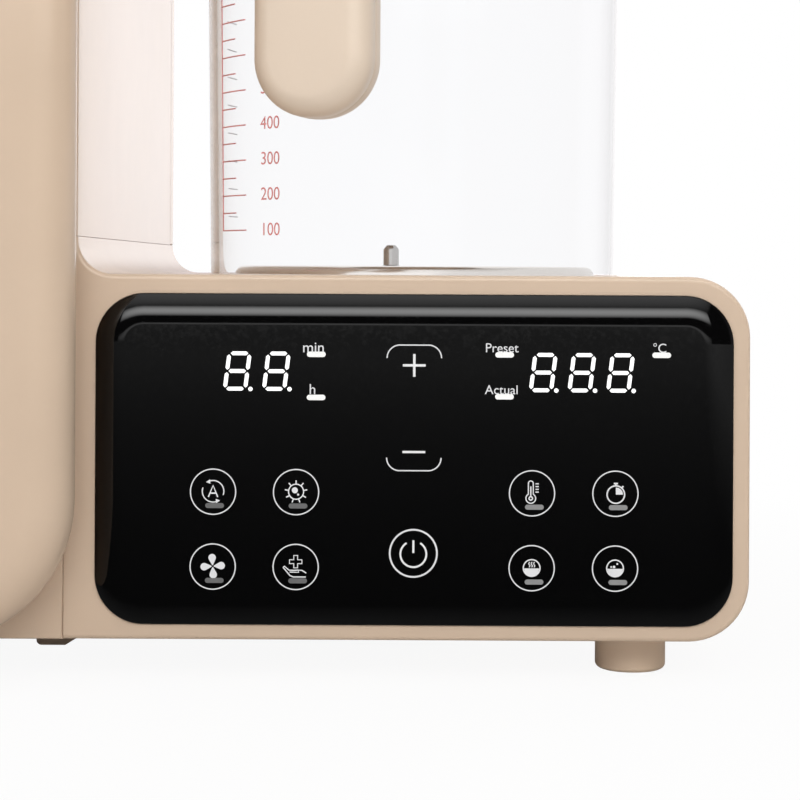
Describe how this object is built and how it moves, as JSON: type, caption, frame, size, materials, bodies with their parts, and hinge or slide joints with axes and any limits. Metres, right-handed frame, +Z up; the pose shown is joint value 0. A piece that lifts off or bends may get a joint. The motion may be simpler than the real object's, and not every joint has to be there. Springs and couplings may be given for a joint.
{
  "type": "baby bottle sterilizer",
  "caption": "Bottle sterilizer cabinet with a hinged window door, joined to a touch-panel base that carries a lift-off glass kettle with a free-ended handle.",
  "frame": {"origin": "middle of the footprint, on the table that the feet stand on", "axes": "+X to the right seen from the front, +Y to the back, +Z up"},
  "size_m": [0.42, 0.217, 0.325],
  "materials": {
    "beige_plastic": "fine satin moulded plastic, warm beige",
    "foot_plastic": "matte moulded plastic, darker beige",
    "polished_steel": "stainless steel, finely brushed",
    "screw_steel": "zinc plated steel",
    "panel_black": "glossy black touch panel",
    "black_plastic": "black moulded plastic",
    "white_plastic": "white moulded plastic",
    "silicone": "translucent silicone rubber",
    "clear_glass": "clear borosilicate glass",
    "lamp_glass": "clear quartz lamp glass",
    "tinted_glass": "dark tinted glass",
    "circuit_board": "green lacquered circuit board",
    "aluminium_fins": "bare aluminium",
    "filter_foam": "open foam",
    "wire_sleeve": "woven sleeve over wires"
  },
  "bodies": {
    "housing": {"front_frame": "beige_plastic", "cabinet_shell": "beige_plastic", "back_cover": "beige_plastic", "chamber_liner": "polished_steel", "rack_rails": "polished_steel", "uv_lamp_tubes": "lamp_glass", "lamp_holders": "white_plastic", "fan_frame": "black_plastic", "air_heater": "aluminium_fins", "air_filter": "filter_foam", "power_board": "circuit_board", "board_parts": "black_plastic", "board_standoffs": "white_plastic", "cord_gland": "black_plastic", "strike_plates": "screw_steel", "door_sensor": "white_plastic", "door_seal": "silicone", "hinge_pins": "screw_steel", "cabinet_feet": "foot_plastic", "back_screws": "screw_steel", "joining_screws": "screw_steel", "base_shell": "beige_plastic", "kettle_well": "beige_plastic", "base_bottom_cover": "beige_plastic", "control_panel": "panel_black", "touch_board": "circuit_board", "time_display": "black_plastic", "temperature_display": "black_plastic", "touch_springs": "screw_steel", "base_connector": "black_plastic", "base_feet": "foot_plastic", "base_screws": "screw_steel", "wire_harness": "wire_sleeve"},
    "fan": {"fan_impeller": "black_plastic"},
    "filter_cover": {"filter_cover": "beige_plastic"},
    "lower_rack": {"lower_rack": "polished_steel"},
    "upper_rack": {"upper_rack": "polished_steel"},
    "door": {"door_shell": "beige_plastic", "door_window": "tinted_glass", "door_panel": "white_plastic", "inner_window": "tinted_glass", "door_magnets": "screw_steel", "door_screws": "screw_steel"},
    "kettle_socket": {"kettle_socket": "black_plastic"},
    "kettle": {"kettle_glass": "clear_glass", "kettle_collar": "beige_plastic", "glass_seal": "silicone", "handle_outer": "beige_plastic", "handle_inner": "beige_plastic", "handle_screws": "screw_steel", "kettle_bottom": "beige_plastic", "heating_plate": "polished_steel", "plate_seal": "silicone", "heating_element": "aluminium_fins", "temperature_probe": "polished_steel"},
    "lid": {"lid_cap": "beige_plastic", "lid_knob": "beige_plastic", "lid_seal": "silicone", "lid_screw": "screw_steel"}
  },
  "joints": [
    {"name": "door_hinge", "type": "hinge", "parent": "housing", "child": "door", "pos_m": [-0.2, -0.0985, 0.1675], "axis": [0, 0, -1], "range_deg": [0, 110]},
    {"name": "fan_spin", "type": "hinge", "parent": "housing", "child": "fan", "pos_m": [-0.0834, 0.0875, 0.12], "axis": [0, 1, 0], "continuous": true},
    {"name": "filter_pull", "type": "slide", "parent": "housing", "child": "filter_cover", "axis": [0, 1, 0], "range_m": [0, 0.03]},
    {"name": "lower_rack_lift", "type": "slide", "parent": "housing", "child": "lower_rack", "axis": [0, 0, 1], "range_m": [0, 0.04]},
    {"name": "upper_rack_lift", "type": "slide", "parent": "housing", "child": "upper_rack", "axis": [0, 0, 1], "range_m": [0, 0.05]},
    {"name": "kettle_lift", "type": "slide", "parent": "housing", "child": "kettle_socket", "axis": [0, 0, 1], "range_m": [0, 0.15]},
    {"name": "kettle_turn", "type": "hinge", "parent": "kettle_socket", "child": "kettle", "pos_m": [0.1266, 0.0105, 0.1005], "axis": [0, 0, 1], "range_deg": [-24, 225]},
    {"name": "lid_lift", "type": "slide", "parent": "kettle", "child": "lid", "axis": [0, 0, 1], "range_m": [0, 0.08]}
  ]
}
